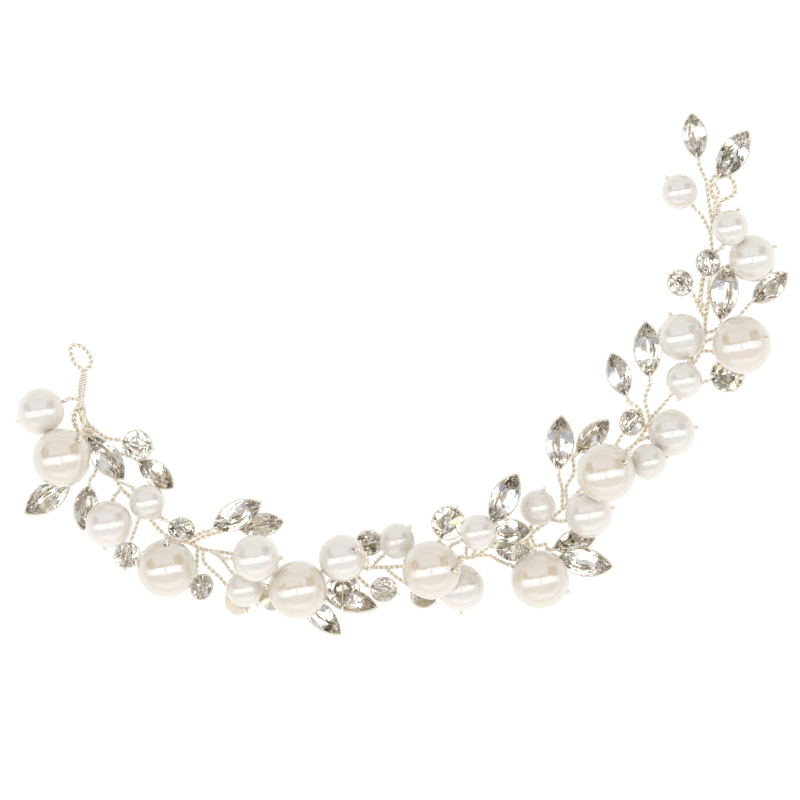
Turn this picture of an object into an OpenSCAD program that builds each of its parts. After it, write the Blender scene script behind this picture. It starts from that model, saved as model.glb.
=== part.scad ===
// Hair vine: pearls and cut crystals held on short twisted twigs along a twisted wire stem.
// It lies on a flat surface. +X runs along its longest side, +Z is up, and the origin is on
// the surface under the middle of the vine.

/* [Overall] */
// Width of the vine from its left side to its right tip, as it lies
vine_w = 135.6; // [130:0.2:145]

/* [Pearls] */
// Diameter of the large pearls
pearl_large_d = 10.3; // [9.3:0.1:11.3]
// Diameter of the medium pearls
pearl_medium_d = 8.3; // [7.5:0.1:9.1]
// Diameter of the small pearls
pearl_small_d = 6.3; // [5.7:0.1:6.9]
// Bore drilled through each pearl
pearl_bore_d = 1; // [0.9:0.05:1.3]

/* [Boat-shaped crystals] */
// Length of the large navettes, tip to tip
navette_large_l = 10.1; // [9:0.1:11]
// Width of the large navettes
navette_large_w = 5; // [4.4:0.1:5.6]
// Length of the small navettes, tip to tip
navette_small_l = 8.2; // [7.4:0.1:9]
// Width of the small navettes
navette_small_w = 4.4; // [3.9:0.1:4.9]
// Distance from a navette's tip to the middle of its bore
tip_bore_in = 1.2; // [1.1:0.05:1.5]
// Bore drilled through a navette near its tip
tip_bore_d = 0.6; // [0.55:0.05:0.75]

/* [Round crystals] */
// Diameter of the large round crystals
round_large_d = 6; // [5.4:0.1:6.6]
// Diameter of the medium round crystals
round_medium_d = 5.4; // [4.9:0.1:5.9]
// Diameter of the small round crystals
round_small_d = 4.7; // [4.3:0.1:5.2]
// Bore drilled across a round crystal, just under its girdle
round_bore_d = 0.6; // [0.55:0.05:0.75]

/* [Cut of the crystals] */
// Width of the flat table, as a share of the crystal's width
table_share = 0.56; // [0.5:0.01:0.62]
// Height of the crown above the girdle, as a share of the crystal's width
crown_share = 0.18; // [0.14:0.01:0.21]
// Height of the girdle band, as a share of the crystal's width
girdle_share = 0.06; // [0.04:0.01:0.08]
// Depth of the pavilion under the girdle, as a share of the crystal's width
pavilion_share = 0.38; // [0.34:0.01:0.42]

/* [Wire] */
// Thickness of one strand of wire
strand_d = 0.3; // [0.26:0.01:0.32]
// Thickness across two strands twisted together, as on a twig
twig_d = 0.6; // [0.52:0.02:0.64]
// Thickness across the twisted stem
stem_d = 0.66; // [0.6:0.02:0.76]
// Thickness across the twisted wire of the end loops
loop_d = 0.7; // [0.6:0.02:0.76]
// Height of the stem's centre line above the surface
stem_lift = 1.2; // [1.1:0.05:1.5]
// Length of wire that stands out on the far side of a drilled bead
nib_l = 0.7; // [0.5:0.05:0.9]

/* [Hidden] */
// Clearance between a twig's root and the wire that it springs from
wire_gap = 0.15;
// Clearance between pieces that lie on each other
pile_gap = 0.2;
// Clearance between a crystal and the surface
crystal_lift = 0.05;
// Share of the outline that the blunted point under a crystal keeps
culet_share = 0.06;
// Share of a navette's length that the keel under it keeps
keel_share = 0.34;
// Material left between a round crystal's girdle and its bore
bore_roof = 0.1;
// Radius of the smallest ball that a twig is led round
LEAST_BEAD = 1;
// Corners of a crystal's outline, sides of a wire, and steps on a wire between two points
CORNERS = 12;
SIDES = 6;
STEPS = 3;
$fn = 48;

// Places below are millimetres on the vine at this width, and stretch with vine_w
CHARTED_W = 135.6;
spread = vine_w / CHARTED_W;

// Kind of bead or crystal, its form, length and width
KINDS = [
    ["pearl_large", "pearl", pearl_large_d, pearl_large_d],
    ["pearl_medium", "pearl", pearl_medium_d, pearl_medium_d],
    ["pearl_small", "pearl", pearl_small_d, pearl_small_d],
    ["navette_large", "navette", navette_large_l, navette_large_w],
    ["navette_small", "navette", navette_small_l, navette_small_w],
    ["round_large", "round", round_large_d, round_large_d],
    ["round_medium", "round", round_medium_d, round_medium_d],
    ["round_small", "round", round_small_d, round_small_d],
];

// Every bead and crystal, in the order in which they are laid down, lowest first.
// TURN points from the wire's side to the far side; RISE lifts the far side; ROLL turns the
// piece about that line. ROOT is the point on the stem where its twig springs, and WAY holds
// the points that the twig passes, each with the share of its climb that it has made there.
KIND = 0; NUMBER = 1; X = 2; Y = 3; TURN = 4; RISE = 5; ROLL = 6; ROOT = 7; WAY = 8;
PIECES = [
    ["pearl_medium", 1, -63.6, -6.6, 204, 0, 0, [-56.8, -4.5], [[-58.5, -4.3, 0.6]]],
    ["navette_large", 1, -62.4, -21.6, 216, 6, 8, [-55.5, -10.9], [[-56.7, -15.4, 0.5]]],
    ["navette_small", 1, -55.7, -23.5, 262, 4, -10, [-53.4, -14.4], [[-54.2, -17.5, 0.8]]],
    ["round_small", 1, -48.5, -31.8, 258, 10, 12, [-46, -24], [[-46.9, -26.8, 0.8]]],
    ["pearl_medium", 2, -51.6, -26.3, 260, 0, 0, [-49.5, -20.2], []],
    ["navette_large", 2, -52.2, -14.6, -50, 4, -12, [-54.7, -9.9], []],
    ["pearl_large", 1, -59.8, -14.7, 226, -35, 0, [-55.9, -8.8], []],
    ["navette_small", 2, -43.4, -17.6, -37, 14, 14, [-54.2, -10.9], [[-51.6, -12.6, 0.8], [-49.8, -13.9, 1]]],
    ["round_medium", 1, -46.7, -12.5, -14, 8, 14, [-55.2, -8.7], [[-52.5, -11, 0.9]]],
    ["round_small", 2, -38.9, -27.3, -26, -10, 26, [-44.4, -25.4], [[-43, -25.2, 0.8]]],
    ["pearl_small", 1, -44.9, -22.5, -44, 0, 0, [-49.7, -18.9], []],
    ["round_small", 3, -35.3, -37.4, 286, -24, -26, [-36.1, -30.6], []],
    ["pearl_large", 2, -41.5, -34.1, 270, -34, 0, [-41.6, -28.5], []],
    ["navette_small", 3, -25, -26.5, 8, 0, -16, [-37.2, -29.8], [[-35.1, -28.6, 0.8], [-31.8, -27.6, 1]]],
    ["navette_large", 3, -29.2, -24.8, 29, 14, 6, [-38.5, -29.5], [[-35.3, -27.8, 0.7]]],
    ["round_medium", 2, -28.9, -39.6, -52, 20, 200, [-35.1, -30.8], [[-35, -33, 0.3], [-32.4, -35.6, 0.8]]],
    ["round_small", 4, -23.1, -39.3, -45, 8, 165, [-25.3, -33.05], [[-24.9, -35.5, 0.3]]],
    ["pearl_small", 2, -27.8, -37.7, -53, 0, 0, [-32.9, -31.1], [[-30.7, -33.9, 0.7]]],
    ["navette_large", 4, -14.5, -42.3, -45, 0, -32, [-18.6, -34.9], [[-18.6, -37, 0.5]]],
    ["navette_large", 5, -9.3, -39.7, -14, 6, -34, [-15, -34.7], [[-14.6, -37, 0.6]]],
    ["round_large", 1, -10.6, -37.8, 268, 6, 0, [-11, -34.3], []],
    ["round_small", 5, -6, -29.7, 14, 6, 14, [-8.7, -34.1], [[-9, -31.9, 0.7]]],
    ["round_small", 6, -3.4, -37.8, -14, 8, -18, [-9.7, -34.2], [[-8.1, -35.5, 0.4]]],
    ["pearl_medium", 4, -10.65, -32.25, 214, -49, 0, [-6.5, -34], []],
    ["pearl_large", 3, -18.45, -37.8, -8, 0, 0, [-26.6, -32.5], [[-25.6, -35.6, 0.3], [-24.1, -37.4, 0.7]]],
    ["pearl_medium", 3, -25.8, -32.25, 1, 0, 0, [-33.6, -31.1], [[-31.4, -32.2, 0.8]]],
    ["pearl_small", 3, -1.1, -29.3, 47, 0, 0, [-5.3, -34], [[-4.6, -32.8, 0.5]]],
    ["round_small", 7, 3.6, -38.8, -30, 10, -10, [-3, -34.1], [[-1.3, -35.6, 0.5], [0.5, -36.8, 0.8]]],
    ["pearl_medium", 5, 10.1, -37.5, 270, 0, 0, [9.5, -32.4], []],
    ["round_large", 2, 7.9, -26.2, 62, 5, -4, [6.4, -33.2], [[6.4, -29.6, 0.9]]],
    ["navette_small", 5, 30.2, -29.4, 19, 6, 18, [22.5, -28.5], [[23.3, -30.2, 0.6], [25, -29.9, 1]]],
    ["navette_large", 7, 31.9, -33.1, -9, 8, 6, [21.7, -29.3], [[22.8, -30.9, 0.5], [25.2, -31.9, 1]]],
    ["round_large", 3, 19.3, -30.9, 0, 0, 56, [15.4, -30], []],
    ["pearl_small", 5, 23.6, -23.4, 71, 0, 0, [22.9, -27.9], []],
    ["navette_small", 4, 18.3, -27.5, 0, 0, 6, [12, -32.1], [[12.9, -30.4, 0.6], [13.2, -28.7, 1]]],
    ["navette_large", 6, 17.7, -21.8, 63, 12, -8, [11.1, -32.2], [[11.3, -29.6, 0.4], [13.2, -26.6, 1]]],
    ["pearl_small", 4, 13.1, -27.7, 25, 0, 0, [7.7, -32.8], [[8.2, -30.2, 0.5]]],
    ["pearl_large", 4, 4.9, -34.3, 180, -41, 0, [8.7, -32.6], []],
    ["pearl_large", 5, 24, -36, -25, 0, 0, [12.9, -31.9], [[15.2, -31.9, 0.2], [16.9, -32.8, 0.5]]],
    ["pearl_medium", 6, 32.5, -24.6, 15, 0, 0, [25.9, -25.5], []],
    ["navette_small", 6, 33.3, -11, 46, 6, 22, [28.9, -22.5], [[28.6, -20, 0.7], [29.9, -17.4, 1]]],
    ["navette_large", 8, 27.5, -12.1, 88, 16, -4, [27.9, -23.6], [[27.9, -20.2, 0.8]]],
    ["pearl_medium", 7, 47.1, -10.3, 12, 0, 0, [41.2, -11.8], []],
    ["pearl_small", 6, 42.9, -15.4, 13, 0, 0, [38, -14.9], []],
    ["navette_large", 9, 42.9, 4.3, 94, 8, 4, [43.3, -8.2], [[42.8, -6, 0.8], [42.5, -4.2, 1]]],
    ["navette_small", 7, 37.9, -0.1, 109, 12, 12, [42.5, -9.8], [[41.5, -6.2, 0.9]]],
    ["round_small", 8, 40, -8.5, 50, 14, -22, [36.9, -15.2], [[37.3, -12.8, 0.3]]],
    ["pearl_large", 6, 35.4, -17.3, 210, -43, 0, [39.5, -13.1], []],
    ["pearl_medium", 8, 48.8, 6.5, 117, 0, 0, [51.1, 2.2], []],
    ["round_large", 4, 56.9, -0.2, 17, 6, 0, [48.7, -1.4], [[50.8, -2, 0.5]]],
    ["pearl_small", 7, 49.2, -1.1, 256, 0, 0, [50.5, 1.3], []],
    ["navette_small", 8, 64.4, 15.2, 40, 8, -14, [52.9, 5.6], [[56.1, 7.2, 0.4], [58.9, 10, 0.9]]],
    ["navette_large", 10, 56.4, 14.3, 83, 6, 6, [53, 7.2], [[54.3, 7.5, 0.5]]],
    ["pearl_medium", 9, 61.2, 20.3, 27, 0, 0, [53.7, 17], [[55.9, 18.6, 1]]],
    ["pearl_large", 7, 59.3, 5.1, 17, 34, 0, [52.3, 4], [[54, 4, 0.3]]],
    ["round_small", 9, 48.7, 16, 142, 6, 14, [52.9, 9.8], [[51.4, 12.8, 0.8]]],
    ["round_small", 10, 53.5, 19.5, 100, 10, 20, [53.6, 14.7], []],
    ["pearl_small", 8, 57.3, 25.6, 67, 0, 0, [54.3, 21], [[55.5, 22, 0.3]]],
    ["pearl_small", 9, 48.5, 32, 132, 0, 0, [54, 24.6], [[52.3, 27.9, 0.7]]],
    ["navette_small", 9, 51.2, 41.8, 98, 0, -12, [54.3, 26], [[53.8, 29.1, 0.6], [53.5, 31.2, 1], [53.1, 34, 1]]],
    ["navette_large", 11, 57.9, 38.5, 58, 0, -6, [54.5, 27.8], [[54.7, 30, 1.3], [55.3, 31.8, 1.3]]],
];

// Route of the stem from the left loop to the right one, and its thickness there as a
// multiple of stem_d: the ends are bound with more strands
STEM_ROUTE = [
    [-56.1, -0.1, 1.5], [-56.3, -1.6, 1.6], [-56.5, -3.5, 1.5], [-56.6, -5, 1.3], [-56.2, -7.3, 2.2],
    [-55.5, -9.3, 2.6], [-54.6, -10.9, 2], [-54, -12.6, 1.3], [-52.8, -15.3, 1], [-50.7, -18.1, 1],
    [-49.5, -20.2, 1], [-47.2, -22.3, 1], [-43.6, -26.5, 1], [-42.1, -28, 1], [-40.2, -29.1, 1],
    [-37.8, -29.6, 1], [-35, -30.8, 1], [-31.8, -31.3, 1], [-28, -32.1, 1], [-23, -33.9, 1],
    [-18.1, -35, 1], [-13, -34.5, 1], [-7.2, -34, 1], [-2, -33.9, 1], [5, -33.2, 1], [9.5, -32.4, 1],
    [12.6, -32.1, 1], [14.7, -30.5, 1], [16.6, -29.6, 1], [20.3, -29.7, 1], [22.2, -28.8, 1],
    [23.1, -27.6, 1], [25.7, -25.6, 1], [28.3, -23.4, 1], [31.7, -19.8, 1], [36.8, -15.2, 1],
    [40.6, -12.4, 1], [42.8, -9.3, 1], [43.6, -7.6, 1], [46, -5, 1], [49, -1, 1], [51.2, 2.1, 1],
    [52.7, 5.3, 1], [53.1, 9.5, 1], [53.6, 13, 1], [53.8, 16.5, 1], [54.3, 21, 1], [54, 24.5, 1],
    [54.7, 27, 1.4], [55.3, 29.1, 1.5],
];
// Ring of each end loop, open where the stem's end meets it
LEFT_LOOP = [
    [-56.5, 1], [-57.4, 1.5], [-58, 2.5], [-58.5, 3.9], [-58.3, 4.9], [-57.3, 5.1],
    [-56.2, 4.6], [-55.2, 3.5], [-54.8, 2.4], [-55, 1.4], [-55.7, 0.9],
];
RIGHT_LOOP = [
    [54.8, 30.4], [54.2, 31.8], [54.1, 33.2], [54.2, 34.2], [55, 34.9], [56.3, 35],
    [57.5, 34.4], [58.2, 33.1], [58.2, 31.9], [57.5, 31.1], [56.1, 30.5],
];
// Second strands that run beside the stem for a short way
SIDE_STRANDS = [
    [[-57.4, -6.2], [-57.9, -7.6], [-57.6, -9.2], [-56.6, -10.8]],
    [[52.9, 17.6], [52.5, 16], [52.3, 14.4], [52.1, 12.6]],
];
// Left ends of the five spans that the twigs are sorted into
SPANS = [-80, -43, -17, 14, 39, 80];
SPAN_NAMES = ["twigs_left_end", "twigs_lower_left", "twigs_lower_middle", "twigs_lower_right", "twigs_right_end"];

function counted(kind, last) = [for (n = [1:last]) str(kind, "_", n)];

// Small helpers
function unit(v) = v / norm(v);
function flat(v) = [v.x, v.y];
function raised(p, z, r) = [p.x * spread, p.y * spread, z, r];
function mean(a, b, t) = a * (1 - t) + b * t;

// A piece's kind, turning and reach
function kind_of(p) = KINDS[search([p[KIND]], KINDS)[0]];
function form(p) = kind_of(p)[1];
function long(p) = kind_of(p)[2];
function wide(p) = kind_of(p)[3];
function angles(p) = [p[ROLL], -p[RISE], p[TURN]];
function about_x(v, a) = [v.x, v.y * cos(a) - v.z * sin(a), v.y * sin(a) + v.z * cos(a)];
function about_y(v, a) = [v.x * cos(a) + v.z * sin(a), v.y, v.z * cos(a) - v.x * sin(a)];
function about_z(v, a) = [v.x * cos(a) - v.y * sin(a), v.x * sin(a) + v.y * cos(a), v.z];
function turned(v, a) = about_z(about_y(about_x(v, a[0]), a[1]), a[2]);
// A point of the piece's own frame, [x, y, z], set where the piece lies at height z
function seated(p, z, v) = [p[X] * spread, p[Y] * spread, z] + turned(v, angles(p));

// Half the width of a boat-shaped outline at x along it: two arcs that meet at the tips
function arc_r(l, w) = (l * l + w * w) / (4 * w);
function half_width(l, w, x) = sqrt(max(0, pow(arc_r(l, w), 2) - x * x)) - arc_r(l, w) + w / 2;

// Balls that stand for a piece in the pile, [x, y, z, radius] in its own frame
function round_balls(w) = concat(
    [[0, 0, -0.1 * w, 0.29 * w]],
    [for (a = [0:45:315]) [0.37 * w * cos(a), 0.37 * w * sin(a), 0, 0.13 * w]]);
function navette_balls(l, w) = concat(
    [for (t = [-0.9:0.3:0.9]) let (b = half_width(l, w, t * l / 2)) [t * l / 2, 0, -0.2 * b, 0.58 * b + 0.05]],
    [for (t = [-0.6:0.3:0.6], s = [-1, 1])
        let (b = half_width(l, w, t * l / 2)) [t * l / 2, s * 0.72 * b, 0, 0.3 * b]]);
function balls(p) = concat(
    form(p) == "pearl" ? [[0, 0, 0, wide(p) / 2]] :
    form(p) == "round" ? round_balls(wide(p)) : navette_balls(long(p), wide(p)),
    [for (v = wire_in(p)) [v.x, v.y, v.z, v[3] + 0.05]]);
// Points and balls that a piece could stand on
function feet(p) =
    let (a = long(p) / 2, w = wide(p), g = -girdle_share / 2 * w, deep = g - pavilion_share * w)
    form(p) == "pearl" ? [[0, 0, 0, a]] :
    form(p) == "round" ? concat([for (t = [0:30:330], z = [g, -g]) [a * cos(t), a * sin(t), z, 0]],
        [[0, 0, deep, 0.05]],
        [for (t = [0:30:330]) [a * table_share * cos(t), a * table_share * sin(t), crown_share * w - g, 0]],
        wire_in(p)) :
    concat([[a, 0, g, 0], [-a, 0, g, 0], [0, w / 2, g, 0], [0, -w / 2, g, 0]],
        [for (e = [-1, 1], f = [-1, 1]) [e * keel_share * a, f * culet_share * w / 2, deep, 0]],
        wire_in(p));
function placed_balls(p, z) = [for (b = balls(p)) concat(seated(p, z, b), b[3])];

// Height at which a piece clears the surface and everything laid before it
function rest_height(p, laid) =
    let (
        mine = placed_balls(p, 0),
        x = p[X] * spread,
        y = p[Y] * spread,
        reach = long(p) / 2 + nib_l + twig_d + pearl_large_d / 2,
        near = [for (q = laid) if (abs(q.x - x) < reach && abs(q.y - y) < reach) q],
        lift = form(p) == "pearl" ? 0 : crystal_lift
    )
    max(concat(
        [for (m = feet(p)) m[3] + lift - seated(p, 0, m).z],
        [for (m = mine, q = near)
            let (r = m[3] + q[3] + pile_gap, d2 = pow(m.x - q.x, 2) + pow(m.y - q.y, 2))
            if (d2 < r * r) q.z + sqrt(r * r - d2) - m.z]));

// A smooth line through points [x, y, z, radius], with n steps between two of them
function spline_at(a, b, c, d, t) =
    0.5 * ((2 * b) + (c - a) * t + (2 * a - 5 * b + 4 * c - d) * t * t + (3 * b - a - 3 * c + d) * t * t * t);
function smooth(pts, n) =
    let (last = len(pts) - 1)
    concat([for (i = [0:last - 1], k = [0:n - 1])
        spline_at(pts[max(i - 1, 0)], pts[i], pts[i + 1], pts[min(i + 2, last)], k / n)], [pts[last]]);

// The stem and the loops as points with a radius
function stem_points() = [for (s = STEM_ROUTE) raised(s, stem_lift, s[2] * stem_d / 2)];
function loop_points(route) = [for (s = route) raised(s, stem_lift, loop_d / 2)];
function strand_points(route) = [for (s = route) raised(s, stem_lift, strand_d)];
function stem_r_near(s) =
    let (far = [for (q = STEM_ROUTE) norm([q.x, q.y] - s)])
    STEM_ROUTE[search(min(far), far)[0]][2] * stem_d / 2;

// A twig springs from the top of the stem
function root_ball(p) =
    raised(p[ROOT], stem_lift + stem_r_near(p[ROOT]) + twig_d / 2 + wire_gap, twig_d / 2);

// Where the wire meets a piece, in the piece's own frame, outermost first: the way in,
// through the bore, and the end
function wire_in(p) =
    let (a = long(p) / 2, w = wide(p), r = twig_d / 2, s = strand_d / 2,
        top = (girdle_share / 2 + crown_share) * w, under = (girdle_share / 2 + pavilion_share) * w,
        drop = -(girdle_share / 2 * w + bore_roof + round_bore_d / 2))
    form(p) == "pearl" ? [[-a - twig_d, 0, 0, r], [-a, 0, 0, r], [a + nib_l, 0, 0, r]] :
    form(p) == "round" ? [[-a - twig_d, 0, drop, r], [-a - strand_d, 0, drop, s], [a + nib_l, 0, drop, s]] :
    [[-a - 1.1, 0, 0, r], [-a - 0.55, 0, 0.12, r], [-a + 0.1, 0, 0.55, s], [-a + 0.65 * tip_bore_in, 0, top + 0.1, s],
        [-a + tip_bore_in, 0, 0.6 * top + 0.1, s], [-a + tip_bore_in, 0, -0.55 * under, s],
        [-a + 0.6 * tip_bore_in, 0, -0.65 * under - 0.15, s], [-a - 0.1, 0, -0.75, s], [-a - 0.6, 0, -0.62, s]];

// A twig's points from its root to the end of its wire, for a piece lying at height z
function twig_points(p, z) =
    let (
        inner = [for (v = wire_in(p)) concat(seated(p, z, v), v[3])],
        mouth = inner[0],
        way = [for (w = p[WAY]) raised(w, mean(stem_lift, mouth.z, w[2]), twig_d / 2)],
        root = root_ball(p)
    )
    concat([root], way, over_the_side(p, z, flat(root)), inner);
// Where the wire enters a pearl from above, it climbs beside the pearl and bends over it
function over_the_side(p, z, s) =
    p[RISE] >= 0 || form(p) != "pearl" ? [] :
    let (
        at = [p[X] * spread, p[Y] * spread, z],
        side = concat(unit(s - flat(at)), 0),
        out = -turned([1, 0, 0], angles(p)),
        r = wide(p) / 2 + twig_d
    )
    [for (v = [side, unit(2 * side + out), unit(side + 2 * out)]) concat(at + v * (r + 0.1), twig_d / 2)];

// A point of a twig, led round the beads that already lie there
function led(v, beads) =
    let (near = [for (q = beads) if (norm(spot(v) - spot(q)) < q[3] + v[3] + wire_gap) q])
    len(near) == 0 ? v :
    let (q = near[0]) concat(spot(q) + unit(spot(v) - spot(q)) * (q[3] + v[3] + wire_gap), v[3]);

// Height of every piece and the way of its twig up to the bead's mouth: each piece is laid on
// those before it, together with their twigs
function outer(p, z, beads) =
    let (pts = twig_points(p, z), way = smooth([for (i = [0:len(pts) - len(wire_in(p))]) pts[i]], STEPS))
    [for (i = [0:len(way) - 1]) i < STEPS / 2 || i > len(way) - 2 ? way[i] : led(way[i], beads)];
function laid_down(i, laid) = i == len(PIECES) ? [] :
    let (
        p = PIECES[i],
        z = rest_height(p, laid),
        way = outer(p, z, [for (q = laid) if (q[3] > LEAST_BEAD) q])
    )
    concat([[z, way]], laid_down(i + 1, concat(laid, placed_balls(p, z), smooth(way, 2))));
LAID = laid_down(0, concat(smooth(stem_points(), 3), smooth(loop_points(LEFT_LOOP), 2),
    smooth(loop_points(RIGHT_LOOP), 2), [for (p = PIECES) root_ball(p)]));

// Skin over a row of rings that all have n points, as a closed solid
module skin(rings) {
    n = len(rings[0]);
    m = len(rings);
    polyhedron(
        [for (r = rings) each r],
        concat(
            [[for (k = [0:n - 1]) k]],
            [for (i = [0:m - 2], k = [0:n - 1]) [i * n + k, (i + 1) * n + k, (i + 1) * n + (k + 1) % n]],
            [for (i = [0:m - 2], k = [0:n - 1]) [i * n + k, (i + 1) * n + (k + 1) % n, i * n + (k + 1) % n]],
            [[for (k = [n - 1:-1:0]) (m - 1) * n + k]]));
}

// Wire swept along points [x, y, z, radius], its rings carried on without twist
function spot(v) = [v.x, v.y, v.z];
function heading(pts, i) = unit(spot(pts[min(i + 1, len(pts) - 1)]) - spot(pts[max(i - 1, 0)]));
function carried(pts, i, normal) = i == len(pts) ? [] :
    let (t = heading(pts, i), n = unit(normal - (normal * t) * t))
    concat([n], carried(pts, i + 1, n));
module wire(pts) {
    start = heading(pts, 0);
    normals = carried(pts, 0, abs(start.z) < 0.8 ? [0, 0, 1] : [1, 0, 0]);
    skin([for (i = [0:len(pts) - 1])
        let (t = heading(pts, i), n = normals[i], b = cross(t, n))
        [for (k = [0:SIDES - 1]) spot(pts[i]) + pts[i][3] * (cos(360 * k / SIDES) * n + sin(360 * k / SIDES) * b)]]);
}

// Cut crystal over an outline: blunted point or keel, girdle, crown and table
module crystal(outline, w, keel) {
    function ring(kx, ky, z) = [for (q = outline) [q.x * kx, q.y * ky, z]];
    skin([
        ring(keel, culet_share, -(girdle_share / 2 + pavilion_share) * w),
        ring(1, 1, -girdle_share / 2 * w),
        ring(1, 1, girdle_share / 2 * w),
        ring(table_share, table_share, (girdle_share / 2 + crown_share) * w)]);
}

module pearl(p) {
    color(wide(p) > pearl_medium_d ? "#efe6d6" : "#f0ece8")
    rotate([0, 90, 0]) difference() {
        sphere(d = wide(p));
        cylinder(d = pearl_bore_d, h = wide(p) + 2, center = true);
    }
}

module navette(p) {
    l = long(p);
    w = wide(p);
    outline = [for (k = [0:CORNERS - 1])
        let (x = l / 2 * cos(360 * k / CORNERS), y = half_width(l, w, x)) [x, sin(360 * k / CORNERS) < 0 ? -y : y]];
    color("#d9d6d2")
    difference() {
        crystal(outline, w, keel_share);
        translate([tip_bore_in - l / 2, 0, 0]) cylinder(d = tip_bore_d, h = w, center = true, $fn = 8);
    }
}

module round_crystal(p) {
    w = wide(p);
    outline = [for (k = [0:CORNERS - 1]) w / 2 * [cos(360 * k / CORNERS), sin(360 * k / CORNERS)]];
    color("#d9d6d2")
    difference() {
        crystal(outline, w, culet_share);
        translate([0, 0, -(girdle_share / 2 * w + bore_roof + round_bore_d / 2)])
            rotate([0, 90, 0]) cylinder(d = round_bore_d, h = w + 1, center = true, $fn = 8);
    }
}

module place(i) {
    p = PIECES[i];
    translate([p[X] * spread, p[Y] * spread, LAID[i][0]]) rotate(angles(p)) children();
}

module piece(i) {
    p = PIECES[i];
    place(i) {
        if (form(p) == "pearl") pearl(p);
        if (form(p) == "navette") navette(p);
        if (form(p) == "round") round_crystal(p);
    }
}

module twig(i) {
    p = PIECES[i];
    z = LAID[i][0];
    inner = wire_in(p);
    color("#d8c9a8")
        wire(concat(LAID[i][1], [for (k = [1:len(inner) - 1]) concat(seated(p, z, inner[k]), inner[k][3])]));
}

module stem() { color("#d8c9a8") wire(smooth(stem_points(), 2)); }
module left_loop() { color("#d8c9a8") wire(smooth(loop_points(LEFT_LOOP), 2)); }
module right_loop() { color("#d8c9a8") wire(smooth(loop_points(RIGHT_LOOP), 2)); }
module side_strands() { for (s = SIDE_STRANDS) color("#d8c9a8") wire(smooth(strand_points(s), 3)); }
module twig_span(s) {
    for (i = [0:len(PIECES) - 1])
        if (PIECES[i][X] >= SPANS[s] && PIECES[i][X] < SPANS[s + 1]) twig(i);
}
module small_navettes() {
    for (i = [0:len(PIECES) - 1])
        if (PIECES[i][KIND] == "navette_small") piece(i);
}
module round_crystals() {
    for (i = [0:len(PIECES) - 1])
        if (form(PIECES[i]) == "round") piece(i);
}

stem();
left_loop();
right_loop();
side_strands();
small_navettes();
round_crystals();
for (s = [0:len(SPAN_NAMES) - 1])
    twig_span(s);
for (i = [0:len(PIECES) - 1])
    if (form(PIECES[i]) == "pearl" || PIECES[i][KIND] == "navette_large")
        piece(i);
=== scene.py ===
"""Hair vine of pearls and foil-backed crystals on twisted wire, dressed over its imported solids."""
import math
import random

import bpy
import numpy as np
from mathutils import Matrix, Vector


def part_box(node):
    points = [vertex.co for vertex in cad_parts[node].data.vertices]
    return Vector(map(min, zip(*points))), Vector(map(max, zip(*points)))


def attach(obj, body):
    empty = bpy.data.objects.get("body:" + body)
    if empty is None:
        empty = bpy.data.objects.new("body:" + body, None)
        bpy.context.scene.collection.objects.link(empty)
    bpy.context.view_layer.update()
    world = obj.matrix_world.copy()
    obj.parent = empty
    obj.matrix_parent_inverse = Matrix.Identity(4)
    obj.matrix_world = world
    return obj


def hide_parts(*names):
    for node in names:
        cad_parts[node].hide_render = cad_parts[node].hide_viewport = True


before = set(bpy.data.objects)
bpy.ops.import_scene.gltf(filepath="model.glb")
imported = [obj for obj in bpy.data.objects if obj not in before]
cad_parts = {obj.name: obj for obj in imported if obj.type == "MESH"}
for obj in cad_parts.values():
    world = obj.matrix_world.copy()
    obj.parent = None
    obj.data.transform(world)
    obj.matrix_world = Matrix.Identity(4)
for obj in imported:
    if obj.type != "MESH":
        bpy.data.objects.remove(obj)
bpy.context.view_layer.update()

MM = 0.001

# Sizes of the real pieces that the frame doesn't tell, in metres
TWIST_PITCH = 1.9 * MM
WRAP_PITCH = 2.4 * MM
BUNDLE_R = 0.62 * MM
LEAD_IN = 1.6 * MM
MOUTH_R = 0.36 * MM
LIP_R = 0.75 * MM
LIP_HEIGHT = 0.26 * MM
DENT_R = 0.8 * MM
DENT_DEPTH = 0.2 * MM
NIB = 0.7 * MM
TIP_BORE_IN = 1.2 * MM
CRYSTAL_BORE_R = 0.25 * MM
BORE_ROOF = 0.1 * MM
LACQUER = 0.03 * MM

# A twisted pair is wrapped with more strands where it is thicker than THICK times its usual radius, and
# lies in a bundle of loose ones from BUNDLED times the bundle's radius. One strand of it goes on alone
# where the room beside it is under ALONE times its own radius
WRAPS = 5
LOOSE_STRANDS = 10
LOOSE_PITCH_MM = (6, 11)
LOOSE_ROOM = (0.35, 1)
THICK = 1.2
BUNDLED = 0.85
ALONE = 0.2

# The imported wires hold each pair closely, and the photo shows them fuller: how much thicker each strand is,
# how much further a pair and its wraps stand off their middle line, and how much thicker a side strand is
FULL = 1.2
SPREAD = 1.3
WRAP_SPREAD = 1.6
SIDE_SWELL = 1.35

# Cut of the crystals. The table's corners, the star points, the edge of the crown and the middle of
# the back lie at these shares of the way out to the outline
TABLE = 0.56
STAR = 0.8
CROWN_EDGE = 0.95
HALF = 0.5
# Heights as shares of the width, and the keel under a navette as a share of its length
CROWN = 0.18
GIRDLE = 0.06
PAVILION = 0.38
KEEL = 0.34
# The point where the long middle facets of a navette's back meet: its shares of the keel, of the width
# and of the depth, and how far those facets swell
BOAT_ALONG = 0.12
BOAT_OUT = 0.2
BOAT_DOWN = 0.6
BOAT_SWELL = 0.09 * MM
# A crystal longer than this many widths is a navette, and the others are round
NAVETTE_FROM = 1.3

# The loose strands lie at random turns, the same on each run
SEED = 7

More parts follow.
